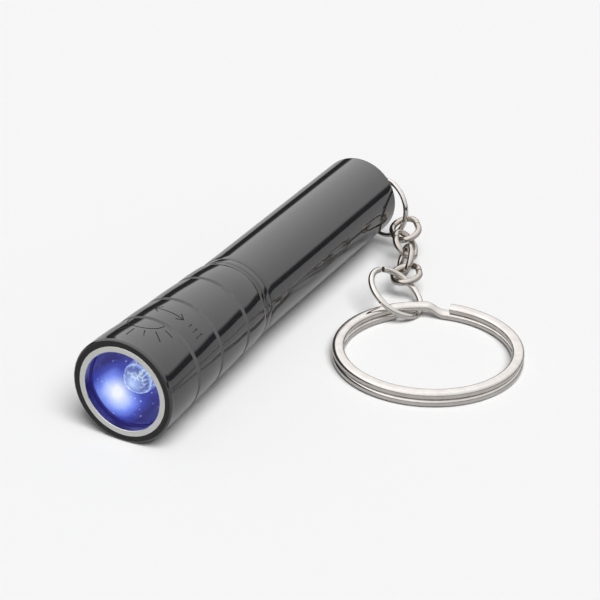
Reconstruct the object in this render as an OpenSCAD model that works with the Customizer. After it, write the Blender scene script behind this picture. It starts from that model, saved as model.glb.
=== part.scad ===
// Keychain flashlight: a turning head on a tube for one AAA cell, with a curb chain and a split ring.
// Millimetres. The lamp axis lies along Y and the head's front face points to -Y. The light lies on its side.

/* [Head] */
// Diameter of the head at its front rim
head_front_d = 16.6; // [16.4:0.1:17]
// Diameter of the head at its rear end
head_rear_d = 14.4; // [14.3:0.1:14.8]
// Length of the head
head_len = 30; // [29.8:0.1:30.1]
// Depth of the three grooves round the head
groove_depth = 0.3; // [0.1:0.05:0.4]
// Width of the three grooves
groove_w = 0.8; // [0.5:0.1:1.2]
// How far each band between two grooves swells
band_swell = 0.07; // [0:0.01:0.12]
// Outer diameter of the bright ring in the mouth
mouth_ring_d = 14.4; // [14.2:0.1:14.5]
// Inner diameter of the bright ring in the mouth
mouth_d = 12.6; // [12.2:0.1:12.8]

/* [Lamp] */
// Diameter of the lamp body
lamp_d = 5; // [4.8:0.1:5]
// Distance from the front face to the tip of the lamp
lamp_tip = 3; // [2.8:0.1:3.4]
// Depth at which the reflector cup ends
cup_end = 8.8; // [8.2:0.1:9.6]

/* [Barrel] */
// Outer diameter of the barrel
barrel_d = 14; // [13.8:0.1:14.2]
// Length from the front face to the end of the barrel
body_len = 76.4; // [76.2:0.1:77]
// Bore of the barrel for the cell
cell_bore_d = 10.8; // [10.7:0.1:11]
// Outer diameter of the neck that the head turns on
neck_d = 12.6; // [12.4:0.1:12.6]
// Radial clearance between the neck and the head
neck_clearance = 0.05; // [0.02:0.01:0.08]

/* [Cell] */
// Diameter of the cell over its sleeve
cell_d = 10.5; // [10.3:0.1:10.5]
// Length of the cell with its positive button
cell_len = 44.5; // [44.3:0.1:44.5]

/* [Tail eye] */
// Distance of the eye's hole from the end of the barrel
eye_out = 2.2; // [2:0.1:2.4]
// Diameter of the eye's hole
eye_hole_d = 2.3; // [2:0.1:2.4]
// Thickness of the eye
eye_t = 1.3; // [1:0.1:1.4]

/* [Chain] */
// Wire of the jump ring at the tail
tail_ring_wire = 0.85; // [0.7:0.05:0.85]
// Wire of the chain links
link_wire = 1.05; // [0.9:0.05:1.05]
// Wire of the jump ring at the key ring
key_jump_wire = 1; // [0.9:0.05:1]
// Radius of both jump rings, to the middle of the wire
jump_ring_r = 4.85; // [4.8:0.05:4.9]
// Radius of a link's ends, to the middle of the wire
link_end_r = 2.15; // [2.1:0.05:2.2]
// Length of a link's straight sides
link_side = 1.4; // [1.3:0.1:1.4]

/* [Split ring] */
// Outer diameter of the split ring
ring_d = 29.9; // [29.8:0.1:29.9]
// Width of its flat wire
ring_w = 1.9; // [1.7:0.1:1.9]
// Height of one turn
turn_h = 1.18; // [1.1:0.01:1.18]

/* [Hidden] */
$fn = 64;

// Places along the axis, measured from the front face
groove_at = [8.4, 15.6, 24];
window_y = 1.2;
window_t = 1;
seal_t = 0.4;
seal_y = window_y + window_t;
cup_y = seal_y + seal_t;
lamp_shoulder = lamp_tip + lamp_d / 2;
flange_y = 10.5;
flange_t = 1;
socket_y = flange_y + flange_t;
board_y = 18.5;
board_t = 1.2;
board_back = board_y + board_t;
switch_t = 1.2;
neck_y = board_back + switch_t + 0.02;
collar_y = head_len + 0.12;
barrel_y = 32.2;
neck_end = 38.2;
cell_tip = 23;
cap_h = 1;
can_y = cell_tip + cap_h;
cell_end = cell_tip + cell_len;
spring_end = 73.2;
plate_t = 0.4;
tail_wall = 2;
wall_y = body_len - tail_wall;
eye_y = body_len + eye_out;

// Radii
head_r = head_front_d / 2;
rear_r = head_rear_d / 2;
mouth_ring_r = mouth_ring_d / 2;
mouth_r = mouth_d / 2;
window_r = 7;
lamp_r = lamp_d / 2;
flange_r = 2.9;
barrel_r = barrel_d / 2;
bore_r = cell_bore_d / 2;
neck_r = neck_d / 2;
head_bore_r = neck_r + neck_clearance;
seal_groove_r = 5.85;
seal_groove_y = 27.6;
seal_groove_w = 0.7;
cell_r = cell_d / 2;
can_r = cell_r - 0.15;
cap_r = 1.9;
shank_r = 1.5;

// Rest places of the chain: the middle of each piece and its turns about X, Y and Z
tail_ring_at = [4.6, 77.1, -1.4];
tail_ring_turn = [-96, 14, -19];
link_at = [[10, 74.1, -3.1], [11.9, 70.1, -3.8], [13.9, 66.1, -4.5], [15.9, 62.1, -4.8]];
link_turn = [[20, 8, -51], [139, 8, -66], [-111, 2, -59], [14, -1, -59]];
key_jump_at = [17.1, 55.7, -5];
key_jump_turn = [145, -1, -85];
tail_ring_gap = 255;
key_jump_gap = 118;
gap_angle = 5;

// The split ring lies flat. Its upper turn starts at the cut and steps down to the lower turn at the jog.
ring_at = [28.4, 43.7];
ring_lift = 0.1;
ring_r = (ring_d - ring_w) / 2;
turn_pitch = 1.22;
cut_angle = 100;
jog_start = 116;
jog_end = 104;
lower_end = 137;

// The origin is below the middle of the whole object's footprint, on the surface that it lies on.
ring_out_x = ring_at[0] + ring_d / 2;
tail_ring_normal_y = -cos(tail_ring_turn[0]) * sin(tail_ring_turn[1]) * sin(tail_ring_turn[2])
    + sin(tail_ring_turn[0]) * cos(tail_ring_turn[2]);
tail_ring_reach_y = tail_ring_at[1] + tail_ring_wire / 2
    + jump_ring_r * sqrt(1 - tail_ring_normal_y * tail_ring_normal_y);
eye_r = 2.1;
back_y = max(tail_ring_reach_y, eye_y + eye_r);
origin_at = [(ring_out_x - head_r) / 2, back_y / 2, -head_r];

// Points of an arc about a centre, from angle a0 to angle a1
function arc(centre, r, a0, a1, steps = 5) =
    [for (i = [0 : steps]) let (a = a0 + (a1 - a0) * i / steps) centre + r * [cos(a), sin(a)]];

// Radius of the head's plain taper at a distance from the front
function taper(y) = head_r + (rear_r - head_r) * y / head_len;

// One swelling band of the head's outline between two distances
function band(y0, y1, steps = 6) =
    [for (i = [0 : steps]) let (t = i / steps, y = y0 + (y1 - y0) * t)
        [taper(y) + band_swell * sin(180 * t), y]];

// Floor of one groove in the head's outline
function groove(y) =
    [[taper(y) - groove_depth, y - groove_w / 5], [taper(y) - groove_depth, y + groove_w / 5]];

// Moves the light so that its footprint is centred on the origin
module placed() translate(-origin_at) children();

// A solid of revolution about the lamp axis, from points of [radius, distance from the front]
module turned(points) placed() rotate([-90, 0, 0]) rotate_extrude() polygon(points);

// A plain ring or disc about the lamp axis
module ring(y, length, outer_r, inner_r = 0)
    turned([[inner_r, y], [outer_r, y], [outer_r, y + length], [inner_r, y + length]]);

module head_shell() {
    rim = 0.4;
    rear_edge = 0.2;
    half = groove_w / 2;
    outline = concat(
        [[mouth_ring_r, 0]],
        arc([head_r - rim, rim], rim, -90, 0),
        band(rim + 0.2, groove_at[0] - half),
        groove(groove_at[0]),
        band(groove_at[0] + half, groove_at[1] - half),
        groove(groove_at[1]),
        band(groove_at[1] + half, groove_at[2] - half),
        groove(groove_at[2]),
        band(groove_at[2] + half, head_len - rear_edge),
        [[rear_r - rear_edge, head_len], [head_bore_r, head_len],
         [head_bore_r, socket_y], [window_r, socket_y], [window_r, window_y], [mouth_ring_r, window_y]]);
    color("#2b2b2e") turned(outline);
}

module bezel_ring() {
    edge = 0.15;
    color("#c9c8c4") turned([[mouth_r + edge, 0], [mouth_ring_r, 0], [mouth_ring_r, window_y],
        [mouth_r, window_y], [mouth_r, edge]]);
}

module lens_window() color("#dfe8f4", 0.4) ring(window_y, window_t, window_r);

module lens_seal() color("#202020") ring(seal_y, seal_t, window_r, mouth_r + 0.2);

// The cup narrows as a parabola from the mouth to the lamp.
module reflector() {
    lamp_hole_r = lamp_r + 0.05;
    flange_hole_r = flange_r + 0.05;
    steps = 12;
    cup = [for (i = [0 : steps]) let (t = i / steps)
        [mouth_r - (mouth_r - lamp_hole_r) * t * t, cup_y + (cup_end - cup_y) * t]];
    color("#d5dae8") turned(concat(cup, [[lamp_hole_r, flange_y], [flange_hole_r, flange_y],
        [flange_hole_r, socket_y], [window_r - 0.4, socket_y], [window_r - 0.4, cup_y + 0.8],
        [window_r, cup_y + 0.8], [window_r, cup_y]]));
}

module led_lamp() {
    dome = arc([0, lamp_shoulder], lamp_r, -90, 0, 12);
    color("#eef4ff", 0.6) turned(concat(dome, [[lamp_r, flange_y], [flange_r, flange_y],
        [flange_r, socket_y], [0, socket_y]]));
}

// Two square legs from the lamp, through the socket, to the board
lead_w = 0.5;
lead_pitch = 2.54;
module lead_row(width, y0, y1)
    placed() for (side = [-1, 1])
        translate([-width / 2, y0, side * lead_pitch / 2 - width / 2]) cube([width, y1 - y0, width]);

module led_leads() color("#c8c8c8") lead_row(lead_w, socket_y, board_back);

module led_socket() color("#f2f2ee") difference() {
    ring(socket_y, board_y - socket_y, head_bore_r);
    lead_row(lead_w, socket_y - 1, board_y + 1);
}

module circuit_board() color("#1f6b3a") difference() {
    ring(board_y, board_t, head_bore_r);
    lead_row(lead_w, board_y - 1, board_back + 1);
}

// A small coil and a chip stand on the board, one on each side of the pin.
driver_x = 3.6;
coil_r = 1.3;
coil_h = 1.1;
chip_size = [1.6, 1, 2.9];
module driver_coil() color("#3a3a3a") placed()
    translate([driver_x, board_back, 0]) rotate([-90, 0, 0]) cylinder(r = coil_r, h = coil_h);

module driver_chip() color("#151515") placed()
    translate([-driver_x - chip_size[0] / 2, board_back, -chip_size[2] / 2]) cube(chip_size);

module contact_pin() {
    pin_r = 0.9;
    tip = 0.3;
    color("#d9b65c") turned([[0, board_back], [pin_r, board_back], [pin_r, cell_tip - tip - 0.01],
        [pin_r - tip, cell_tip - 0.01], [0, cell_tip - 0.01]]);
}

module switch_ring() color("#d9b65c") ring(board_back, switch_t, head_bore_r, bore_r + 0.1);

module collar_ring() {
    edge = 0.12;
    outer_r = barrel_r - 0.02;
    color("#2b2b2e") turned([[neck_r, collar_y], [outer_r - edge, collar_y], [outer_r, collar_y + edge],
        [outer_r, barrel_y - edge], [outer_r - edge, barrel_y], [neck_r, barrel_y]]);
}

module neck_sleeve() {
    seal_y1 = seal_groove_y + seal_groove_w;
    color("#b9bcc0") turned([[bore_r, neck_y], [neck_r, neck_y], [neck_r, seal_groove_y],
        [seal_groove_r, seal_groove_y], [seal_groove_r, seal_y1], [neck_r, seal_y1],
        [neck_r, neck_end], [bore_r, neck_end]]);
}

module o_ring() {
    cord_r = 0.24;
    cord_y = seal_groove_y + seal_groove_w / 2;
    color("#101010") placed() translate([0, cord_y, 0]) rotate([-90, 0, 0]) rotate_extrude()
        translate([seal_groove_r + cord_r + 0.005, 0]) circle(cord_r);
}

module barrel_tube() {
    front_edge = 0.12;
    tail_round = 0.5;
    color("#2b2b2e") turned(concat(
        [[neck_r, barrel_y], [barrel_r - front_edge, barrel_y], [barrel_r, barrel_y + front_edge]],
        arc([barrel_r - tail_round, body_len - tail_round], tail_round, 0, 90),
        [[shank_r, body_len], [shank_r, wall_y], [bore_r, wall_y], [bore_r, neck_end], [neck_r, neck_end]]));
}

module battery_can() color("#b8bcc2") ring(can_y, cell_end - can_y, can_r);

module battery_sleeve() {
    cover = 0.3;
    color("#3f4a5c") ring(can_y + cover, cell_len - cap_h - 2 * cover, cell_r, can_r);
}

module battery_cap() {
    edge = 0.2;
    color("#d0d2d6") turned([[0, cell_tip], [cap_r - edge, cell_tip], [cap_r, cell_tip + edge],
        [cap_r, can_y], [0, can_y]]);
}

module battery_seal() {
    washer_t = 0.25;
    washer_r = 3.6;
    color("#2a2a2a") ring(can_y - washer_t, washer_t, washer_r, cap_r + 0.1);
}

// The spring widens from the cell to the plate in even turns.
module tail_spring() {
    turns = 5;
    per_turn = 14;
    sides = 6;
    wire_r = 0.3;
    narrow_r = 2.6;
    wide_r = 4.4;
    steps = turns * per_turn;
    y0 = cell_end + wire_r;
    y1 = spring_end - wire_r;
    function turn_r(t) = narrow_r + (wide_r - narrow_r) * t;
    points = [for (i = [0 : steps], k = [0 : sides - 1])
        let (t = i / steps, turn = 360 * i / per_turn, around = 360 * k / sides,
            r = turn_r(t) + wire_r * cos(around))
        [r * cos(turn), y0 + (y1 - y0) * t + wire_r * sin(around), r * sin(turn)]];
    walls = [for (i = [0 : steps - 1], k = [0 : sides - 1]) let (n = (k + 1) % sides)
        [i * sides + k, i * sides + n, (i + 1) * sides + n, (i + 1) * sides + k]];
    ends = [[for (k = [0 : sides - 1]) sides - 1 - k], [for (k = [0 : sides - 1]) steps * sides + k]];
    color("#c4b27a") placed() polyhedron(points, concat(walls, ends));
}

module tail_plate() color("#d9b65c") ring(spring_end, plate_t, bore_r - 0.05);

// A riveted eye: a head inside the tube, a shank through its end wall and a flat eye outside
module tail_lug() {
    head_y = spring_end + plate_t;
    rivet_r = 2.6;
    foot_r = 2.2;
    foot_end = body_len + 0.4;
    color("#c9c8c4") difference() {
        union() {
            turned([[0, head_y], [rivet_r, head_y], [rivet_r, wall_y], [shank_r, wall_y],
                [shank_r, body_len], [foot_r, body_len], [foot_r, foot_end], [0, foot_end]]);
            placed() translate([-shank_r, body_len, -eye_t / 2]) cube([2 * shank_r, eye_out, eye_t]);
            placed() translate([0, eye_y, 0]) cylinder(r = eye_r, h = eye_t, center = true);
        }
        placed() translate([0, eye_y, 0]) cylinder(d = eye_hole_d, h = eye_t + 2, center = true);
    }
}

// A round wire ring with a small gap, in its own plane
module jump_ring(wire, gap_at)
    rotate([0, 0, gap_at + gap_angle / 2]) rotate_extrude(angle = 360 - gap_angle)
        translate([jump_ring_r, 0]) circle(d = wire);

module jump_ring_tail() color("#cfccc6") placed()
    translate(tail_ring_at) rotate(tail_ring_turn) jump_ring(tail_ring_wire, tail_ring_gap);

module jump_ring_key() color("#cfccc6") placed()
    translate(key_jump_at) rotate(key_jump_turn) jump_ring(key_jump_wire, key_jump_gap);

// One chain link: two half rings joined by straight sides
module link() {
    for (end = [0, 180])
        rotate([0, 0, end]) translate([link_side / 2, 0, 0]) rotate([0, 0, -90])
            rotate_extrude(angle = 180) translate([link_end_r, 0]) circle(d = link_wire);
    for (side = [-1, 1])
        translate([0, side * link_end_r, 0]) rotate([0, 90, 0])
            cylinder(d = link_wire, h = link_side, center = true);
}

module chain_link(number)
    color("#cfccc6") placed() translate(link_at[number - 1]) rotate(link_turn[number - 1]) link();

// One stretch of a turn, from angle a0 to angle a1 and from height z up
module turn_arc(a0, a1, z)
    rotate([0, 0, a0]) rotate_extrude(angle = a1 - a0, $fn = 96)
        translate([ring_r - ring_w / 2, z]) square([ring_w, turn_h]);

module split_ring() {
    jog_angle = jog_start - jog_end;
    jog_slope = atan(turn_pitch / (ring_r * jog_angle * PI / 180));
    jog_mid = (jog_start + jog_end) / 2;
    overlap = 1.5;
    color("#cfccc6") placed() translate([ring_at[0], ring_at[1], ring_lift - head_r]) {
        turn_arc(jog_start - 360, cut_angle, turn_pitch);
        turn_arc(lower_end - 360, jog_end, 0);
        rotate([0, 0, jog_mid]) translate([0, 0, (turn_pitch + turn_h) / 2]) rotate([jog_slope, 0, 0])
            translate([0, 0, -turn_h / 2]) rotate([0, 0, -jog_mid])
                turn_arc(jog_end - overlap, jog_start + overlap, 0);
    }
}

head_shell();
bezel_ring();
lens_window();
lens_seal();
reflector();
led_lamp();
led_leads();
led_socket();
circuit_board();
driver_coil();
driver_chip();
contact_pin();
switch_ring();
collar_ring();
neck_sleeve();
o_ring();
barrel_tube();
battery_can();
battery_sleeve();
battery_cap();
battery_seal();
tail_spring();
tail_plate();
tail_lug();
jump_ring_tail();
chain_link(1);  // chain_link_1
chain_link(2);  // chain_link_2
chain_link(3);  // chain_link_3
chain_link(4);  // chain_link_4
jump_ring_key();
split_ring();
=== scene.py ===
"""Keychain flashlight: the turned pieces, the lamp, the chain and the split ring over the CAD frame."""
import math
import bmesh
import bpy
from mathutils import Euler, Matrix, Vector


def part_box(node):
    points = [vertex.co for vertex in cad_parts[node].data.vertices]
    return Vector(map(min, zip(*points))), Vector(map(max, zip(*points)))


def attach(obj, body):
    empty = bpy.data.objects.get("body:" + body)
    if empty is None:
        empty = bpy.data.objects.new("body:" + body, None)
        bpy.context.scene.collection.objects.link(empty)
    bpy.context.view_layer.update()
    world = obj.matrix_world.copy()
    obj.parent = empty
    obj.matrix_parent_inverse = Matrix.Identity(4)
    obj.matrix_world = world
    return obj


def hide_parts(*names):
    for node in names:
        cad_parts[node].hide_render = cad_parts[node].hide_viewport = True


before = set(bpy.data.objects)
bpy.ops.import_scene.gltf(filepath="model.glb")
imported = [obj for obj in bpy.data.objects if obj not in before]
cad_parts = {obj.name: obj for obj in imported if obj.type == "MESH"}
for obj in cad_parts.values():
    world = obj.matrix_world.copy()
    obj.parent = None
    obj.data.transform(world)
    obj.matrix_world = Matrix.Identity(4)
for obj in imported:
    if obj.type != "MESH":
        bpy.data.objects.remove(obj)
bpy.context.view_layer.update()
MM = 0.001

# The middle of the lamp's front face. Every piece is placed from here, in millimetres:
# x to the chain's side, y along the lamp axis from the front face, z up.
head_low, head_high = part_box("head_shell")
FRONT = Vector(((head_low[0] + head_high[0]) / 2, head_low[1], (head_low[2] + head_high[2]) / 2))
HEAD_R = (head_high[0] - head_low[0]) / 2 / MM
HEAD_LEN = (head_high[1] - head_low[1]) / MM
REAR_R = 7.2
BARREL_R = 7.0
BODY_LEN = (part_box("barrel_tube")[1][1] - head_low[1]) / MM


def spot(x, y, z):
    """A place in the row frame."""
    return FRONT + Vector((x, y, z)) * MM


# ---------------------------------------------------------------- shared shader groups

def shader_group(name, inputs, outputs):
    """An empty group with named sockets, and its two end nodes."""
    tree = bpy.data.node_groups.new(name, "ShaderNodeTree")
    for label, kind, value in inputs:
        socket = tree.interface.new_socket(label, in_out="INPUT", socket_type=kind)
        if value is not None:
            socket.default_value = value
    for label, kind in outputs:
        tree.interface.new_socket(label, in_out="OUTPUT", socket_type=kind)
    return tree, tree.nodes.new("NodeGroupInput"), tree.nodes.new("NodeGroupOutput")


def add(tree, kind, settings=None, **values):
    """A node with its settings, and its inputs by socket name: a value or another node's output."""
    node = tree.nodes.new(kind)
    for label, value in (settings or {}).items():
        setattr(node, label, value)
    for label, value in values.items():
        numbered = label[0] == "i" and label[1:].isdigit()
        socket = node.inputs[int(label[1:]) if numbered else label]
        if isinstance(value, bpy.types.NodeSocket):
            tree.links.new(value, socket)
        else:
            socket.default_value = value
    return node


def times(tree, one, other):
    """Product of two values."""
    return add(tree, "ShaderNodeMath", {"operation": "MULTIPLY"}, i0=one, i1=other).outputs[0]


def ramp(tree, value, stops):
    """A colour ramp with stops of (position, grey or colour)."""
    node = add(tree, "ShaderNodeValToRGB", Fac=value)
    points = node.color_ramp.elements
    while len(points) < len(stops):
        points.new(0.5)
    for point, (at, shade) in zip(points, stops):
        point.position = at
        point.color = (shade, shade, shade, 1) if isinstance(shade, (int, float)) else (*shade, 1)
    return node.outputs["Color"]


def tone_group():
    """Slow cloudy change over a surface."""
    tree, start, end = shader_group(
        "cloudy tone", [("Place", "NodeSocketVector", None), ("Scale", "NodeSocketFloat", 300.0)],
        [("Tone", "NodeSocketFloat")])
    noise = add(tree, "ShaderNodeTexNoise", Vector=start.outputs["Place"], Scale=start.outputs["Scale"],
                Detail=4.0, Roughness=0.6)
    tree.links.new(noise.outputs["Fac"], end.inputs["Tone"])
    return tree


def scratch_group():
    """Hair-fine marks from handling, in two directions."""
    tree, start, end = shader_group(
        "handling marks",
        [("Place", "NodeSocketVector", None), ("Scale", "NodeSocketFloat", 900.0),
         ("Amount", "NodeSocketFloat", 0.5)], [("Marks", "NodeSocketFloat")])
    found = []
    for turn, squeeze in (((0.3, 0.2, 0.5), (1, 14, 1)), ((0.1, 0.9, -0.7), (12, 1, 2))):
        mapping = add(tree, "ShaderNodeMapping", Vector=start.outputs["Place"], Rotation=turn, Scale=squeeze)
        noise = add(tree, "ShaderNodeTexNoise", Vector=mapping.outputs[0], Scale=start.outputs["Scale"],
                    Detail=2.0)
        found.append(ramp(tree, noise.outputs["Fac"], [(0.62, 0), (0.72, 1)]))
    most = add(tree, "ShaderNodeMath", {"operation": "MAXIMUM"}, i0=found[0], i1=found[1])
    tree.links.new(times(tree, most.outputs[0], start.outputs["Amount"]), end.inputs["Marks"])
    return tree


def edge_group():
    """Rubbed edges: where the surface turns out sharply, broken up by a fine noise."""
    tree, start, end = shader_group(
        "rubbed edges", [("Place", "NodeSocketVector", None), ("Amount", "NodeSocketFloat", 0.5)],
        [("Rub", "NodeSocketFloat")])
    shape = add(tree, "ShaderNodeNewGeometry")
    sharp = ramp(tree, shape.outputs["Pointiness"], [(0.53, 0), (0.62, 1)])
    noise = add(tree, "ShaderNodeTexNoise", Vector=start.outputs["Place"], Scale=1800.0, Detail=3.0)
    broken = times(tree, sharp, noise.outputs["Fac"])
    tree.links.new(times(tree, broken, start.outputs["Amount"]), end.inputs["Rub"])
    return tree


def dust_group():
    """Sparse fine specks, in patches."""
    tree, start, end = shader_group(
        "fine dust", [("Place", "NodeSocketVector", None), ("Amount", "NodeSocketFloat", 0.3)],
        [("Dust", "NodeSocketFloat")])
    specks = add(tree, "ShaderNodeTexVoronoi", Vector=start.outputs["Place"], Scale=1500.0)
    dots = ramp(tree, specks.outputs["Distance"], [(0.05, 1), (0.11, 0)])
    patches = add(tree, "ShaderNodeTexNoise", Vector=start.outputs["Place"], Scale=160.0, Detail=2.0)
    where = ramp(tree, patches.outputs["Fac"], [(0.45, 0), (0.7, 1)])
    tree.links.new(times(tree, times(tree, dots, where), start.outputs["Amount"]), end.inputs["Dust"])
    return tree


TONE, MARKS, RUB, DUST = tone_group(), scratch_group(), edge_group(), dust_group()
SCRATCH_ROUGHNESS = 0.12
DUST_COLOUR = (0.45, 0.43, 0.4)


# ---------------------------------------------------------------- finishes

def use_group(tree, group, **values):
    """The result of a shared group, with its inputs by name."""
    return add(tree, "ShaderNodeGroup", {"node_tree": group}, **values).outputs[0]


def mix(tree, share, under, over):
    """Colour between two colours."""
    node = add(tree, "ShaderNodeMix", {"data_type": "RGBA"})
    for socket, value in ((node.inputs[0], share), (node.inputs[6], under), (node.inputs[7], over)):
        if isinstance(value, bpy.types.NodeSocket):
            tree.links.new(value, socket)
        else:
            socket.default_value = value if isinstance(value, float) else (*value, 1)
    return node.outputs[2]


def finish(name, colour, roughness, metallic=0.0, second=None, tone_scale=300.0, tone_share=0.5, grain=0.0,
           grain_scale=3000.0, grain_stretch=(1, 1, 1), marks=0.3, marks_scale=900.0, rub=0.0,
           rub_colour=(0.5, 0.5, 0.5), dust=0.0, rough_change=0.06, settings=None):
    """A finish with tone, grain, handling marks, rubbed edges and dust."""
    material = bpy.data.materials.new(name)
    material.use_nodes = True
    tree = material.node_tree
    shader = tree.nodes["Principled BSDF"]
    place = add(tree, "ShaderNodeTexCoord").outputs["Object"]
    tone = use_group(tree, TONE, Place=place, Scale=tone_scale)
    scratched = use_group(tree, MARKS, Place=place, Scale=marks_scale, Amount=marks)
    second = second or tuple(c * 0.8 for c in colour)
    body = mix(tree, times(tree, tone, tone_share), colour, second)
    if rub:
        body = mix(tree, use_group(tree, RUB, Place=place, Amount=rub), body, rub_colour)
    if dust:
        body = mix(tree, use_group(tree, DUST, Place=place, Amount=dust), body, DUST_COLOUR)
    tree.links.new(body, shader.inputs["Base Color"])
    rough = add(tree, "ShaderNodeMath", {"operation": "MULTIPLY_ADD"}, i0=tone, i1=rough_change,
                i2=roughness - rough_change / 2)
    rougher = add(tree, "ShaderNodeMath", {"operation": "MULTIPLY_ADD", "use_clamp": True}, i0=scratched,
                  i1=SCRATCH_ROUGHNESS, i2=rough.outputs[0])
    tree.links.new(rougher.outputs[0], shader.inputs["Roughness"])
    if grain:
        turned = add(tree, "ShaderNodeMapping", Vector=place, Scale=grain_stretch)
        fine = add(tree, "ShaderNodeTexNoise", Vector=turned.outputs[0], Scale=grain_scale, Detail=3.0)
        bump = add(tree, "ShaderNodeBump", Strength=grain, Distance=0.00002, Height=fine.outputs["Fac"])
        tree.links.new(bump.outputs[0], shader.inputs["Normal"])
    shader.inputs["Metallic"].default_value = metallic
    for label, value in (settings or {}).items():
        shader.inputs[label].default_value = value
    return material


BLACK = finish("gloss black lacquer", (0.014, 0.014, 0.016), 0.09, tone_scale=120.0, marks=0.25, rub=0.25,
               rub_colour=(0.12, 0.12, 0.12), dust=0.12, grain=0.05, grain_scale=1200.0, rough_change=0.03,
               settings={"IOR": 1.75, "Coat Weight": 0.5, "Coat Roughness": 0.03})
GROOVE_GREY = finish("groove floor", (0.09, 0.09, 0.092), 0.38, tone_scale=700.0, marks=0.2, grain=0.2,
                     settings={"IOR": 1.5})
MARK_BLACK = finish("mark floor", (0.055, 0.055, 0.056), 0.36, tone_scale=900.0, marks=0.1, grain=0.3,
                    grain_scale=5000.0, settings={"IOR": 1.5})
RIM_BLACK = finish("rim black", (0.018, 0.018, 0.018), 0.34, tone_scale=500.0, marks=0.3, rub=0.15,
                   rub_colour=(0.1, 0.1, 0.1), grain=0.15, grain_scale=5000.0, settings={"IOR": 1.33})
BRIGHT = finish("bright ring plating", (0.94, 0.94, 0.9), 0.2, 1.0, tone_scale=700.0, marks=0.4, rub=0.2,
                rub_colour=(0.98, 0.98, 0.95), grain=0.2, grain_scale=2500.0)
NICKEL = finish("bright nickel", (0.84, 0.82, 0.79), 0.09, 1.0, second=(0.55, 0.49, 0.46), tone_scale=450.0,
                tone_share=0.8, marks=0.5, marks_scale=700.0, rub=0.3, rub_colour=(0.85, 0.83, 0.8),
                grain=0.12, grain_scale=1500.0)
LINK_NICKEL = finish("tumbled nickel", (0.66, 0.63, 0.58), 0.13, 1.0, second=(0.45, 0.4, 0.36),
                     tone_scale=600.0, tone_share=0.9, marks=0.6, marks_scale=800.0, rub=0.3,
                     rub_colour=(0.82, 0.8, 0.76), grain=0.2, grain_scale=1800.0)
RUBBER = finish("black rubber", (0.012, 0.012, 0.012), 0.6, tone_scale=700.0, grain=0.4, grain_scale=6000.0)
WHITE = finish("white moulding", (0.78, 0.78, 0.75), 0.42, tone_scale=400.0, grain=0.2, grain_scale=5000.0,
               second=(0.7, 0.69, 0.65))
BOARD = finish("green board", (0.02, 0.16, 0.06), 0.35, second=(0.012, 0.1, 0.04), tone_scale=900.0,
               grain=0.3, grain_scale=2500.0, marks=0.2)
DARK = finish("dark moulding", (0.02, 0.02, 0.022), 0.45, tone_scale=900.0, grain=0.3, grain_scale=6000.0)
BRASS = finish("gold flashed brass", (0.72, 0.53, 0.22), 0.22, 1.0, second=(0.55, 0.36, 0.13),
               tone_scale=800.0, marks=0.6, grain=0.2, grain_scale=3000.0)
ALUMINIUM = finish("turned aluminium", (0.62, 0.63, 0.65), 0.28, 1.0, tone_scale=500.0, marks=0.5, grain=0.5,
                   grain_scale=900.0, grain_stretch=(1, 14, 1))
CAN = finish("cell steel", (0.55, 0.55, 0.56), 0.25, 1.0, tone_scale=500.0, marks=0.6, grain=0.3,
             grain_scale=1800.0, grain_stretch=(1, 6, 1))
SLEEVE = finish("cell sleeve film", (0.03, 0.06, 0.13), 0.25, second=(0.02, 0.04, 0.1), tone_scale=250.0,
                marks=0.5, grain=0.2, grain_scale=1500.0, rub=0.3, rub_colour=(0.2, 0.24, 0.3))
SPRING = finish("spring wire", (0.6, 0.52, 0.33), 0.24, 1.0, tone_scale=900.0, marks=0.5, grain=0.3)
TINNED = finish("tinned wire", (0.6, 0.6, 0.6), 0.3, 1.0, tone_scale=1200.0, marks=0.4, grain=0.3)
GLASS = finish("clear window", (0.97, 0.98, 1.0), 0.02, tone_scale=200.0, marks=0.15, rough_change=0.01,
               settings={"Transmission Weight": 1.0, "IOR": 1.3})

# Places in the lamp, as distances from its front face and from its axis
CUP_Y = 2.6
CUP_END = 8.8
MOUTH_R = 6.3
LAMP_R = 2.5
LAMP_TIP = 3.0
# Where the light painted on the cup is centred, and how it is turned.
GLOW_AT = spot(-4.0, 5.3, -3.8)
GLOW_TURN = math.radians(38)


def axis_share(tree, place, radius):
    """Distance from the lamp axis, as a share of a radius."""
    moved = add(tree, "ShaderNodeVectorMath", {"operation": "SUBTRACT"}, i0=place, i1=tuple(FRONT))
    flat = add(tree, "ShaderNodeVectorMath", {"operation": "MULTIPLY"}, i0=moved.outputs[0], i1=(1, 0, 1))
    out = add(tree, "ShaderNodeVectorMath", {"operation": "LENGTH"}, i0=flat.outputs[0])
    share = add(tree, "ShaderNodeMath", {"operation": "DIVIDE", "use_clamp": True}, i0=out.outputs["Value"],
                i1=radius * MM)
    return share.outputs[0]


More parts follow.
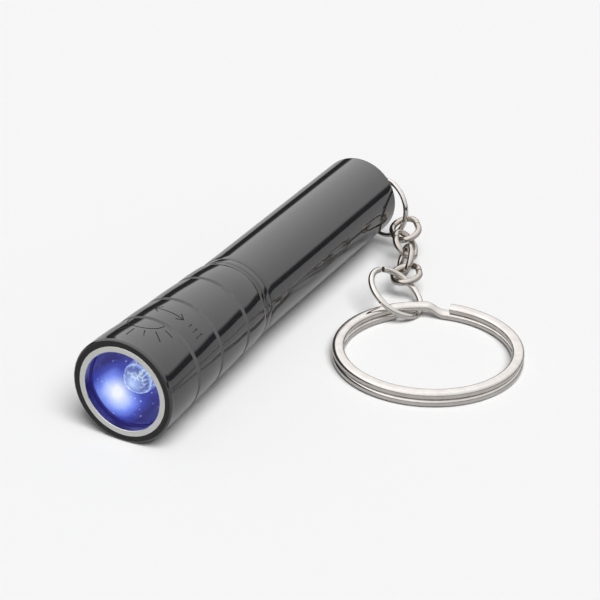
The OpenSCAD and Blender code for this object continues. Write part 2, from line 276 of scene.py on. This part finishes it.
def glow(material, stops, centre, reach, stretch, sparkle, wobble):
    """Painted light on a surface: a glow that falls off round a place, painted shade that darkens it again beside
    the lamp, and painted bright glints.
    """
    tree = material.node_tree
    shader = tree.nodes["Principled BSDF"]
    place = add(tree, "ShaderNodeTexCoord").outputs["Object"]
    turned_in = add(tree, "ShaderNodeMapping", {"vector_type": "TEXTURE"}, Vector=place,
                    Location=tuple(centre), Rotation=(0, GLOW_TURN, 0), Scale=stretch)
    far = add(tree, "ShaderNodeVectorMath", {"operation": "LENGTH"}, i0=turned_in.outputs[0])
    noise = add(tree, "ShaderNodeTexNoise", Vector=place, Scale=330.0, Detail=3.0)
    shaken = add(tree, "ShaderNodeMath", {"operation": "MULTIPLY_ADD"}, i0=noise.outputs["Fac"],
                 i1=wobble * MM, i2=far.outputs["Value"])
    span = add(tree, "ShaderNodeMath", {"operation": "DIVIDE", "use_clamp": True}, i0=shaken.outputs[0],
               i1=reach * MM)
    light = ramp(tree, span.outputs[0], stops)
    # Painted glints: bright specks in scattered patches over the glow.
    cells = add(tree, "ShaderNodeTexVoronoi", Vector=place, Scale=sparkle)
    dots = ramp(tree, cells.outputs["Distance"], [(0.1, 1), (0.2, 0)])
    rare = add(tree, "ShaderNodeTexNoise", Vector=place, Scale=420.0, Detail=1.0)
    some = ramp(tree, rare.outputs["Fac"], [(0.44, 0), (0.54, 0.7)])
    # Painted shade: the glow darkens towards the lamp's axis.
    lamp_side_shade = ramp(tree, axis_share(tree, place, MOUTH_R), [(0.5, 0.1), (0.84, 1.0)])
    shaded = mix(tree, lamp_side_shade, (0.03, 0.035, 0.26), light)
    glow_with_glints = mix(tree, times(tree, dots, some), shaded, (0.55, 0.65, 1.0))
    tree.links.new(glow_with_glints, shader.inputs["Emission Color"])
    shader.inputs["Emission Strength"].default_value = 1.0


# Painted light: the mirror cup is dark metal, and its lit look is a painted glow with painted shade and glints.
CUP = finish("mirror cup", (0.06, 0.06, 0.12), 0.14, 1.0, tone_scale=500.0, marks=0.2, grain=0.1)
glow(CUP, [(0.0, (1.0, 1.0, 1.0)), (0.16, (0.95, 0.98, 1.0)), (0.25, (0.5, 0.62, 1.0)),
           (0.34, (0.18, 0.27, 0.85)), (0.46, (0.045, 0.065, 0.42)), (0.62, (0.02, 0.016, 0.13)),
           (1.0, (0.012, 0.008, 0.06))],
     centre=GLOW_AT, reach=9.2, stretch=(1.2, 1.25, 0.88), sparkle=1300.0, wobble=1.6)
# Painted light: a faint blue glow on the dark gasket and the window's ground edge, standing for lamp light caught in
# them; their base colours are tinted blue too.
PAINTED_LAMP_GLOW = {"Emission Color": (0.02, 0.016, 0.12, 1), "Emission Strength": 1.0}
GASKET = finish("dark gasket", (0.012, 0.01, 0.05), 0.3, tone_scale=700.0, grain=0.2, grain_scale=4000.0,
                settings=PAINTED_LAMP_GLOW)
# Painted shade and lamp light: the bore of the mouth ring is tinted dark violet.
RING_BORE = finish("shaded ring bore", (0.16, 0.14, 0.34), 0.3, 1.0, tone_scale=900.0, tone_share=0.8,
                   second=(0.07, 0.05, 0.2), marks=0.4, grain=0.2, grain_scale=3000.0)
GLASS_EDGE = finish("ground window edge", (0.03, 0.025, 0.12), 0.45, tone_scale=900.0, grain=0.3,
                    grain_scale=5000.0, settings=PAINTED_LAMP_GLOW)
DIE = finish("lamp die cup", (0.8, 0.85, 1.0), 0.2, 1.0, tone_scale=900.0,
             settings={"Emission Color": (0.6, 0.72, 1.0, 1), "Emission Strength": 1.6})


def lamp_resin():
    """Clear resin lit from inside, with painted light in its glow: bright cells standing for light through cut
    facets, a painted bright rim line and a painted darker band within it.
    """
    material = finish("clear lamp resin", (0.1, 0.13, 0.3), 0.06, tone_scale=600.0, marks=0.2,
                      settings={"IOR": 1.5, "Emission Strength": 1.0})
    tree = material.node_tree
    shader = tree.nodes["Principled BSDF"]
    place = add(tree, "ShaderNodeTexCoord").outputs["Object"]
    # Painted highlight and shade: bright in the middle, then a darker band, then a bright rim line near the edge.
    rings = ramp(tree, axis_share(tree, place, LAMP_R), [
        (0.0, (0.55, 0.7, 0.95)), (0.3, (0.32, 0.42, 0.75)), (0.55, (0.16, 0.22, 0.5)),
        (0.84, (0.07, 0.1, 0.34)), (0.92, (0.3, 0.42, 0.85)), (0.97, (0.1, 0.13, 0.45))])
    swirl = add(tree, "ShaderNodeTexNoise", Vector=place, Scale=600.0, Detail=2.0)
    pushed = add(tree, "ShaderNodeVectorMath", {"operation": "SCALE"}, Vector=swirl.outputs["Color"],
                 Scale=1.1 * MM)
    bent = add(tree, "ShaderNodeVectorMath", {"operation": "ADD"}, i0=place, i1=pushed.outputs[0]).outputs[0]
    # Painted glints: bright cell edges, bent by a noise, shown in patches.
    cells = add(tree, "ShaderNodeTexVoronoi", {"feature": "DISTANCE_TO_EDGE"}, Vector=bent, Scale=1250.0)
    lines = ramp(tree, cells.outputs["Distance"], [(0.0, 1), (0.07, 0.35), (0.28, 0)])
    patches = add(tree, "ShaderNodeTexNoise", Vector=place, Scale=900.0, Detail=3.0)
    where = ramp(tree, patches.outputs["Fac"], [(0.45, 0), (0.62, 1)])
    tree.links.new(mix(tree, times(tree, lines, where), rings, (0.75, 0.92, 1.0)),
                   shader.inputs["Emission Color"])
    return material


RESIN = lamp_resin()


# ---------------------------------------------------------------- making pieces

SHARP = math.radians(32)


def object_of(name, bm):
    """A linked object with the finished bmesh as its mesh."""
    mesh = bpy.data.meshes.new(name)
    bm.to_mesh(mesh)
    bm.free()
    made = bpy.data.objects.new(name, mesh)
    bpy.context.scene.collection.objects.link(made)
    return made


def level_normals(piece):
    """Even shading over broad faces, with the sharp edges kept."""
    leveller = piece.modifiers.new("level normals", "WEIGHTED_NORMAL")
    leveller.keep_sharp = True
    leveller.weight = 80


def make(name, bm, body, materials, stands_for=()):
    """Closes, shades and places a finished bmesh as a piece of a body."""
    bmesh.ops.remove_doubles(bm, verts=bm.verts, dist=1e-7)
    bmesh.ops.recalc_face_normals(bm, faces=bm.faces)
    for face in bm.faces:
        face.smooth = True
    for edge in bm.edges:
        if len(edge.link_faces) == 2 and edge.calc_face_angle(0.0) > SHARP:
            edge.smooth = False
    piece = object_of(name, bm)
    for material in materials:
        piece.data.materials.append(material)
    level_normals(piece)
    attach(piece, body)
    if stands_for:
        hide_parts(*stands_for)
    return piece


def outline(bm, points):
    """A closed outline in the plane of the lamp axis, from points of (radius, distance, rounding)."""
    corners = [bm.verts.new(spot(p[0], p[1], 0)) for p in points]
    face = bm.faces.new(corners)
    for size in sorted({p[2] for p in points if len(p) > 2}):
        rounded = [v for v, p in zip(corners, points) if len(p) > 2 and p[2] == size]
        bmesh.ops.bevel(bm, geom=rounded, offset=size * MM, offset_type="OFFSET", affect="VERTICES",
                        segments=4, profile=0.5, material=-1)
    bmesh.ops.delete(bm, geom=bm.faces[:], context="FACES_ONLY")


def turned(points, steps=192):
    """A closed outline turned a whole turn about the lamp axis."""
    bm = bmesh.new()
    outline(bm, points)
    bmesh.ops.spin(bm, geom=bm.verts[:] + bm.edges[:], cent=spot(0, 0, 0), axis=(0, 1, 0), angle=2 * math.pi,
                   steps=steps, use_merge=True)
    bmesh.ops.remove_doubles(bm, verts=bm.verts, dist=1e-7)
    return bm


# ---------------------------------------------------------------- the head

GROOVES = (8.4, 15.6, 24.0)
GROOVE_W = 0.8
GROOVE_DEPTH = 0.3
SWELL = 0.07
RING_R = 7.2
RING_BACK = 1.2
WINDOW_R = 7.0
WINDOW_BACK = 2.2
FLANGE_R = 2.9
FLANGE_Y = 10.5
FLANGE_BACK = 11.5
HEAD_BORE_R = 6.35
MARK_W = 0.19
MARK_DEPTH = 0.1
# Radius at which a distance round the head is true to size in the unrolled marks
MARK_R = 8.0
HEAD_FINISHES = [BLACK, RIM_BLACK, MARK_BLACK, GROOVE_GREY]


def taper(y):
    """Radius of the head's plain cone."""
    return HEAD_R + (REAR_R - HEAD_R) * y / HEAD_LEN


def band(y0, y1, steps=14):
    """One swelling band of the head between two places."""
    places = [(i / steps, y0 + (y1 - y0) * i / steps) for i in range(steps + 1)]
    return [(taper(y) + SWELL * math.sin(math.pi * share), y) for share, y in places]


def groove(y):
    """The round floor of one groove."""
    steps = 6
    return [(taper(y) - GROOVE_DEPTH * math.sin(math.pi * i / steps), y - GROOVE_W / 2 + GROOVE_W * i / steps)
            for i in range(1, steps)]


def head_outline():
    """The head's section: rounded rim, bands and grooves outside, and the bore inside."""
    half = GROOVE_W / 2
    rim = 0.4
    points = [(RING_R, 0.0, 0.08), (HEAD_R - rim, 0.0)]
    points += [(HEAD_R - rim + rim * math.sin(math.pi / 2 * i / 6), rim - rim * math.cos(math.pi / 2 * i / 6))
               for i in range(1, 7)]
    start = rim + 0.2
    for y in GROOVES:
        points += band(start, y - half) + groove(y)
        start = y + half
    points += band(start, HEAD_LEN - 0.2)
    points += [(REAR_R - 0.08, HEAD_LEN - 0.05), (REAR_R - 0.25, HEAD_LEN), (HEAD_BORE_R, HEAD_LEN, 0.1),
               (HEAD_BORE_R, FLANGE_BACK), (WINDOW_R, FLANGE_BACK), (WINDOW_R, RING_BACK),
               (RING_R, RING_BACK)]
    return points


def stroke(bm, start, end):
    """A straight cutter on the unrolled head, between places of (distance round, distance along)."""
    way = Vector(end) - Vector(start)
    middle = (Vector(start) + Vector(end)) / 2
    length = way.length + MARK_W
    place = (Matrix.Translation((middle.x, middle.y, 0.5 - MARK_DEPTH))
             @ Matrix.Rotation(math.atan2(way.y, way.x), 4, "Z")
             @ Matrix.Diagonal((length, MARK_W, 1.0, 1.0)))
    made = bmesh.ops.create_cube(bm, size=1.0, matrix=place)
    edges = {e for v in made["verts"] for e in v.link_edges}
    long_edges = [e for e in edges if abs((e.verts[0].co - e.verts[1].co).xy.length - length) < 1e-4]
    bmesh.ops.subdivide_edges(bm, edges=long_edges, cuts=8, use_grid_fill=True)


def arc_stroke(bm, centre, radius, a0, a1):
    """A curved cutter on the unrolled head."""
    near, far, low, high = radius - MARK_W / 2, radius + MARK_W / 2, -MARK_DEPTH, 1 - MARK_DEPTH
    corners = [(near, low), (far, low), (far, high), (near, high)]
    first = Matrix.Translation((*centre, 0)) @ Matrix.Rotation(math.radians(a0), 4, "Z")
    verts = [bm.verts.new(first @ Vector((r, 0, h))) for r, h in corners]
    edges = [bm.edges.new((verts[i], verts[(i + 1) % 4])) for i in range(4)]
    made = bmesh.ops.spin(bm, geom=verts + edges, cent=(*centre, 0), axis=(0, 0, 1),
                          angle=math.radians(a1 - a0), steps=24)
    last = [g for g in made["geom_last"] if isinstance(g, bmesh.types.BMVert)]
    bmesh.ops.contextual_create(bm, geom=verts)
    bmesh.ops.contextual_create(bm, geom=last)


def engraved_marks():
    """Plain marks: a rising half sun, a two-way arrow, and three dashes that grow longer."""
    bm = bmesh.new()
    sun = (-0.4, 8.0)
    arc_stroke(bm, sun, 2.9, 180, 360)
    for angle in (193, 220, 245, 270, 295, 320, 347):
        out = Vector((math.cos(math.radians(angle)), math.sin(math.radians(angle))))
        reach = 5.7 if angle in (220, 270, 320) else 5.1
        stroke(bm, Vector(sun) + out * 3.7, Vector(sun) + out * reach)
    left, right, level = -1.4, 3.6, 11.7
    stroke(bm, (left + 0.3, level), (right - 0.3, level))
    for tip, way in ((left, 1), (right, -1)):
        for side in (-1, 1):
            stroke(bm, (tip, level), (tip + way * 0.9, level + side * 0.8))
    for across, half in ((4.9, 0.35), (5.9, 0.6), (6.9, 0.85)):
        stroke(bm, (across, level - half), (across, level + half))
    for vert in bm.verts:
        around, along, height = vert.co
        angle = math.pi / 2 - around / MARK_R
        radius = taper(along) + height
        vert.co = spot(radius * math.cos(angle), along, radius * math.sin(angle))
    bmesh.ops.recalc_face_normals(bm, faces=bm.faces)
    for face in bm.faces:
        face.material_index = HEAD_FINISHES.index(MARK_BLACK)
    cutter = object_of("marks_cutter", bm)
    for material in HEAD_FINISHES:
        cutter.data.materials.append(material)
    return cutter


def cut(piece, cutter):
    """Cuts the marks into a piece and throws the cutter away."""
    knife = piece.modifiers.new("marks", "BOOLEAN")
    knife.object = cutter
    knife.solver = "EXACT"
    knife.use_self = True
    piece.modifiers.remove(piece.modifiers["level normals"])
    ready = piece.evaluated_get(bpy.context.evaluated_depsgraph_get())
    mesh = bpy.data.meshes.new_from_object(ready)
    piece.modifiers.clear()
    piece.data = mesh
    bpy.data.objects.remove(cutter)
    bm = bmesh.new()
    bm.from_mesh(mesh)
    for edge in bm.edges:
        edge.smooth = len(edge.link_faces) != 2 or edge.calc_face_angle(0.0) < SHARP
    bm.to_mesh(mesh)
    bm.free()
    level_normals(piece)


def second_finish(bm, chosen, finish_number=1):
    """Gives another finish to the faces whose (distance from the axis, depth) is chosen, in millimetres."""
    for face in bm.faces:
        middle = (face.calc_center_median() - FRONT) / MM
        if chosen(math.hypot(middle.x, middle.z), middle.y):
            face.material_index = finish_number


def in_groove(far, deep):
    """Whether a place on the head's outside is on the floor of a groove."""
    return WINDOW_R < far < taper(deep) - 0.03 and min(abs(deep - y) for y in GROOVES) < GROOVE_W / 2


def head_pieces():
    """The turning head and what it carries in its mouth."""
    bm = turned(head_outline(), steps=384)
    second_finish(bm, lambda far, deep: deep < 0.02 and far > RING_R, HEAD_FINISHES.index(RIM_BLACK))
    second_finish(bm, in_groove, HEAD_FINISHES.index(GROOVE_GREY))
    shell = make("turning_head", bm, "head", HEAD_FINISHES, ["head_shell"])
    cut(shell, engraved_marks())
    bm = turned([(MOUTH_R, 0.0, 0.12), (RING_R, 0.0, 0.08), (RING_R, RING_BACK), (MOUTH_R, RING_BACK)])
    second_finish(bm, lambda far, deep: far < MOUTH_R + 0.02 and deep > 0.1)
    make("mouth_ring", bm, "head", [BRIGHT, RING_BORE], ["bezel_ring"])
    bm = turned([(0, RING_BACK), (WINDOW_R, RING_BACK, 0.08), (WINDOW_R, WINDOW_BACK, 0.08),
                 (0, WINDOW_BACK)], 96)
    second_finish(bm, lambda far, deep: far > WINDOW_R - 0.1 and RING_BACK + 0.05 < deep < WINDOW_BACK - 0.05)
    make("window_disc", bm, "head", [GLASS, GLASS_EDGE], ["lens_window"])
    steps = 24
    cup = [(MOUTH_R - (MOUTH_R - LAMP_R - 0.05) * (i / steps) ** 2, CUP_Y + (CUP_END - CUP_Y) * i / steps)
           for i in range(steps + 1)]
    back = [(LAMP_R + 0.05, FLANGE_Y), (FLANGE_R + 0.05, FLANGE_Y), (FLANGE_R + 0.05, FLANGE_BACK),
            (6.6, FLANGE_BACK), (6.6, CUP_Y + 0.8), (WINDOW_R, CUP_Y + 0.8), (WINDOW_R, CUP_Y)]
    make("lamp_cup", turned(cup + back, 128), "head", [CUP], ["reflector"])
    angles = [math.pi / 2 * i / 16 for i in range(17)]
    dome = [(LAMP_R * math.sin(angle), LAMP_TIP + LAMP_R - LAMP_R * math.cos(angle)) for angle in angles]
    foot = [(LAMP_R, FLANGE_Y, 0.1), (FLANGE_R, FLANGE_Y, 0.15), (FLANGE_R, FLANGE_BACK, 0.1),
            (0, FLANGE_BACK)]
    make("lamp_bulb", turned(dome + foot, 96), "head", [RESIN], ["led_lamp"])
    die = [(0, 6.9), (0.5, 6.9), (1.15, 6.1, 0.05), (1.3, 6.1, 0.05), (1.3, 7.4), (0, 7.4)]
    make("lamp_die", turned(die, 48), "head", [DIE], ())


SHANK_R = 1.5
TAIL_WALL_Y = 74.4


def barrel_pieces():
    """The plain tube, and the narrow collar with its fine line between the tube and the head."""
    barrel_y, neck_end, neck_r, bore_r = 32.2, 38.2, 6.3, 5.4
    make("plain_tube", turned([
        (neck_r, barrel_y), (BARREL_R, barrel_y, 0.14), (BARREL_R, 33.5), (BARREL_R, BODY_LEN, 0.5),
        (SHANK_R, BODY_LEN, 0.1), (SHANK_R, TAIL_WALL_Y), (bore_r, TAIL_WALL_Y), (bore_r, neck_end),
        (neck_r, neck_end)], 256), "barrel", [BLACK], ["barrel_tube"])
    collar_y, collar_r, line_r = HEAD_LEN + 0.12, 6.98, 6.9
    make("dark_collar", turned([
        (neck_r, collar_y), (collar_r, collar_y, 0.14), (collar_r, 30.8, 0.1), (line_r, 30.9, 0.05),
        (line_r, 31.0, 0.05), (collar_r, 31.1, 0.1), (collar_r, barrel_y, 0.14), (neck_r, barrel_y)], 256),
        "barrel", [BLACK], ["collar_ring"])


# ---------------------------------------------------------------- the tail eye

def eye_piece():
    """A riveted foot and a flat rounded eye."""
    eye_y, eye_r, hole_r, thick = 78.6, 2.1, 1.15, 1.3
    rivet_y, rivet_r, foot_r, foot_end = 73.6, 2.6, 2.2, BODY_LEN + 0.4
    bm = turned([(0, rivet_y), (rivet_r, rivet_y, 0.2), (rivet_r, TAIL_WALL_Y), (SHANK_R, TAIL_WALL_Y),
                 (SHANK_R, BODY_LEN), (foot_r, BODY_LEN), (foot_r, foot_end, 0.25), (0, foot_end)], 64)
    plate = bmesh.new()
    section = [plate.verts.new(spot(x, eye_y, z)) for x, z in
               ((hole_r, -thick / 2), (eye_r, -thick / 2), (eye_r, thick / 2), (hole_r, thick / 2))]
    plate.faces.new(section)
    bmesh.ops.bevel(plate, geom=section, offset=0.22 * MM, offset_type="OFFSET", affect="VERTICES",
                    segments=3, profile=0.5, material=-1)
    bmesh.ops.delete(plate, geom=plate.faces[:], context="FACES_ONLY")
    bmesh.ops.spin(plate, geom=plate.verts[:] + plate.edges[:], cent=spot(0, eye_y, 0), axis=(0, 0, 1),
                   angle=2 * math.pi, steps=64, use_merge=True)
    neck = bmesh.ops.create_cube(plate, size=1.0, matrix=Matrix.Translation(spot(0, BODY_LEN + 0.55, 0))
                                 @ Matrix.Diagonal((2.4 * MM, 0.8 * MM, 1.16 * MM, 1.0)))
    edges = list({e for v in neck["verts"] for e in v.link_edges})
    bmesh.ops.bevel(plate, geom=edges, offset=0.1 * MM, offset_type="OFFSET", affect="EDGES", segments=2,
                    profile=0.5, material=-1)
    joined = bpy.data.meshes.new("eye plate")
    plate.to_mesh(joined)
    plate.free()
    bm.from_mesh(joined)
    make("tail_eye", bm, "barrel", [LINK_NICKEL], ["tail_lug"])


# ---------------------------------------------------------------- wires

def place_of(at, turn=(0, 0, 0)):
    """The move from a piece's own plane to its rest place."""
    angles = Euler([math.radians(a) for a in turn], "XYZ")
    return Matrix.Translation(spot(*at)) @ angles.to_matrix().to_4x4() @ Matrix.Scale(MM, 4)


def wire_section(bm, radius, at, across="X"):
    """A round section without its disc, turned about one axis to face along the wire."""
    made = bmesh.ops.create_circle(bm, cap_ends=False, segments=20, radius=radius,
                                   matrix=Matrix.Translation(at) @ Matrix.Rotation(math.pi / 2, 4, across))
    verts = made["verts"]
    return verts + list({e for v in verts for e in v.link_edges})


def bend(bm, geom, centre, angle, steps, lift=0.0):
    """Carries a section round a centre in the piece's plane, rising by lift in all."""
    made = bmesh.ops.spin(bm, geom=geom, cent=centre, axis=(0, 0, 1), angle=math.radians(angle), steps=steps,
                          dvec=(0, 0, lift / steps))
    return made["geom_last"]


def straight(bm, geom, way):
    """Carries a section along a straight line."""
    edges = [g for g in geom if isinstance(g, bmesh.types.BMEdge)]
    made = bmesh.ops.extrude_edge_only(bm, edges=edges)["geom"]
    verts = [g for g in made if isinstance(g, bmesh.types.BMVert)]
    bmesh.ops.translate(bm, verts=verts, vec=way)
    ends = set(verts)
    return verts + [g for g in made if isinstance(g, bmesh.types.BMEdge) and set(g.verts) <= ends]


def close_ends(bm, ease):
    """Caps the open ends of a wire and eases their rims."""
    rims = [e for e in bm.edges if len(e.link_faces) == 1]
    bmesh.ops.holes_fill(bm, edges=rims, sides=0)
    bmesh.ops.bevel(bm, geom=rims, offset=ease, offset_type="OFFSET", affect="EDGES", segments=2, profile=0.5,
                    material=-1)


JUMP_R = 4.85


def jump_ring(name, body, node, wire, gap_at, gap, at, turn):
    """An open round wire ring, with its gap given in degrees."""
    bm = bmesh.new()
    section = wire_section(bm, wire / 2, (JUMP_R, 0, 0))
    bend(bm, section, (0, 0, 0), 360 - gap, 120)
    close_ends(bm, 0.12)
    bmesh.ops.rotate(bm, verts=bm.verts, cent=(0, 0, 0),
                     matrix=Matrix.Rotation(math.radians(gap_at + gap / 2), 3, "Z"))
    bmesh.ops.transform(bm, matrix=place_of(at, turn), verts=bm.verts)
    make(name, bm, body, [NICKEL], [node])


LINK_WIRE = 1.05
LINK_END_R = 2.15
LINK_SIDE = 1.4


def chain_link(number, at, turn):
    """One bent wire link, closed by a butt joint in the middle of one side."""
    bm = bmesh.new()
    half, seam = LINK_SIDE / 2, 0.05
    section = wire_section(bm, LINK_WIRE / 2, (seam, LINK_END_R, 0), "Y")
    section = straight(bm, section, (half - seam, 0, 0))
    section = bend(bm, section, (half, 0, 0), -180, 30)
    section = straight(bm, section, (-LINK_SIDE, 0, 0))
    section = bend(bm, section, (-half, 0, 0), -180, 30)
    straight(bm, section, (half - seam, 0, 0))
    close_ends(bm, 0.07)
    bmesh.ops.transform(bm, matrix=place_of(at, turn), verts=bm.verts)
    make(f"curb_link_{number}", bm, f"link_{number}", [LINK_NICKEL], [f"chain_link_{number}"])


def split_ring_piece():
    """A flat wire wound twice: the lower turn, the step up and the upper turn to the cut end."""
    ring_r, wide, high, pitch = 14.0, 1.9, 1.18, 1.22
    start, lower_turn, step_turn, upper_turn = 137, 327, 12, 344
    bm = bmesh.new()
    corners = [bm.verts.new((ring_r + x * wide / 2, 0, high / 2 + z * high / 2))
               for x, z in ((-1, -1), (1, -1), (1, 1), (-1, 1))]
    bm.faces.new(corners)
    bmesh.ops.bevel(bm, geom=corners, offset=0.54, offset_type="OFFSET", affect="VERTICES", segments=6,
                    profile=0.5, material=-1)
    bmesh.ops.delete(bm, geom=bm.faces[:], context="FACES_ONLY")
    bmesh.ops.rotate(bm, verts=bm.verts, cent=(0, 0, 0), matrix=Matrix.Rotation(math.radians(start), 3, "Z"))
    section = bm.verts[:] + bm.edges[:]
    section = bend(bm, section, (0, 0, 0), lower_turn, 160)
    rise = 12
    share = [0.5 - 0.5 * math.cos(math.pi * i / rise) for i in range(rise + 1)]
    for low, high_share in zip(share, share[1:]):
        section = bend(bm, section, (0, 0, 0), step_turn / rise, 1, pitch * (high_share - low))
    bend(bm, section, (0, 0, 0), upper_turn, 168)
    close_ends(bm, 0.1)
    bmesh.ops.transform(bm, matrix=place_of((28.4, 43.7, 0.1 - HEAD_R)), verts=bm.verts)
    make("split_key_ring", bm, "key_ring", [NICKEL], ["split_ring"])


def chain_pieces():
    """Each wire at its rest place: its middle, and its turns about X, Y and Z."""
    jump_ring("thin_jump_ring", "tail_ring", "jump_ring_tail", 0.85, 255, 5, (4.6, 77.1, -1.4),
              (-96, 14, -19))
    places = (((10, 74.1, -3.1), (20, 8, -51)), ((11.9, 70.1, -3.8), (139, 8, -66)),
              ((13.9, 66.1, -4.5), (-111, 2, -59)), ((15.9, 62.1, -4.8), (14, -1, -59)))
    for number, (at, turn) in enumerate(places, 1):
        chain_link(number, at, turn)
    jump_ring("open_jump_ring", "key_jump", "jump_ring_key", 1.0, 118, 10, (17.1, 55.7, -5), (145, -1, -85))
    split_ring_piece()


# ---------------------------------------------------------------- CAD nodes that stay

def finish_kept_nodes():
    """A finish for each CAD node that no piece stands for."""
    kept = {
        "lens_seal": GASKET, "o_ring": RUBBER, "led_leads": TINNED, "led_socket": WHITE,
        "circuit_board": BOARD, "driver_coil": DARK, "driver_chip": DARK, "contact_pin": BRASS,
        "switch_ring": BRASS, "neck_sleeve": ALUMINIUM, "battery_can": CAN, "battery_cap": CAN, "battery_seal": DARK,
        "battery_sleeve": SLEEVE, "tail_spring": SPRING, "tail_plate": BRASS}
    for node, material in kept.items():
        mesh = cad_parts[node].data
        mesh.materials.clear()
        mesh.materials.append(material)


# ---------------------------------------------------------------- floor, light and camera

def floor():
    """A pale sheet, with painted shade that makes it darker in what gleams, and open to a camera below it."""
    bm = bmesh.new()
    bmesh.ops.create_grid(bm, x_segments=1, y_segments=1, size=4.0)
    sheet = object_of("floor", bm)
    material = bpy.data.materials.new("pale floor")
    material.use_nodes = True
    tree = material.node_tree
    shader = tree.nodes["Principled BSDF"]
    ray = add(tree, "ShaderNodeLightPath").outputs
    below = times(tree, ray["Is Camera Ray"], add(tree, "ShaderNodeNewGeometry").outputs["Backfacing"])
    clear = add(tree, "ShaderNodeBsdfTransparent").outputs[0]
    open_below = add(tree, "ShaderNodeMixShader", i0=below, i1=shader.outputs[0], i2=clear)
    tree.links.new(open_below.outputs[0], tree.nodes["Material Output"].inputs["Surface"])
    # Painted shade: the floor is darker only as seen in reflections.
    shade = mix(tree, ray["Is Glossy Ray"], (0.913, 0.913, 0.913), (0.52, 0.52, 0.52))
    tree.links.new(shade, shader.inputs["Base Color"])
    shader.inputs["Roughness"].default_value = 1.0
    shader.inputs["Specular IOR Level"].default_value = 0.0
    sheet.data.materials.append(material)


def light():
    """A little even light, a broad bright sky for what gleams, and one soft light from above."""
    world = bpy.data.worlds.new("studio")
    bpy.context.scene.world = world
    world.use_nodes = True
    tree = world.node_tree
    tree.nodes.clear()
    way = add(tree, "ShaderNodeTexCoord").outputs["Generated"]
    parts = add(tree, "ShaderNodeSeparateXYZ", Vector=way)
    rise = add(tree, "ShaderNodeMapRange", i0=parts.outputs["X"])
    for label, value in (("From Min", -0.6), ("From Max", 0.0), ("To Min", -0.1), ("To Max", 0.0)):
        rise.inputs[label].default_value = value
    level = add(tree, "ShaderNodeMath", {"operation": "ADD"}, i0=parts.outputs["Z"],
                i1=rise.outputs["Result"])
    sky = ramp(tree, level.outputs[0], [(0.0, 0.02), (0.13, 0.03), (0.19, 0.75), (0.45, 0.85), (0.75, 1.0)])
    side = add(tree, "ShaderNodeMapRange", i0=parts.outputs["X"])
    for label, value in (("From Min", -0.7), ("From Max", 0.7), ("To Min", 1.55), ("To Max", 0.98)):
        side.inputs[label].default_value = value
    gleam = add(tree, "ShaderNodeBackground", Color=sky, Strength=side.outputs["Result"])
    even = add(tree, "ShaderNodeBackground", Color=(1, 1, 1, 1), Strength=0.2)
    seen = add(tree, "ShaderNodeLightPath").outputs["Is Glossy Ray"]
    both = add(tree, "ShaderNodeMixShader", i0=seen, i1=even.outputs[0], i2=gleam.outputs[0])
    end = tree.nodes.new("ShaderNodeOutputWorld")
    tree.links.new(both.outputs[0], end.inputs["Surface"])

    lamp = bpy.data.lights.new("soft light", "SUN")
    lamp.energy = 3.0
    lamp.angle = math.radians(40)
    source = bpy.data.objects.new("soft light", lamp)
    source.rotation_euler = Vector((-0.45, 0.42, -1.0)).to_track_quat("-Z", "Y").to_euler()
    source.visible_glossy = False
    bpy.context.scene.collection.objects.link(source)


def camera():
    """A long lens from the front right, a little above."""
    lens = bpy.data.cameras.new("camera")
    lens.lens = 125.55
    lens.sensor_width = 36.0
    lens.clip_start = 0.01
    viewer = bpy.data.objects.new("camera", lens)
    stand = Vector((123.9, -258.04, 160.69)) * MM
    aim = Vector((-15.65, 11.0, 0.0)) * MM
    turn = (aim - stand).to_track_quat("-Z", "Y").to_matrix() @ Matrix.Rotation(math.radians(0.968), 3, "Z")
    viewer.matrix_world = Matrix.Translation(stand) @ turn.to_4x4()
    bpy.context.scene.collection.objects.link(viewer)
    bpy.context.scene.camera = viewer
    bpy.context.scene.view_settings.view_transform = "Standard"


head_pieces()
barrel_pieces()
eye_piece()
chain_pieces()
finish_kept_nodes()
floor()
light()
camera()
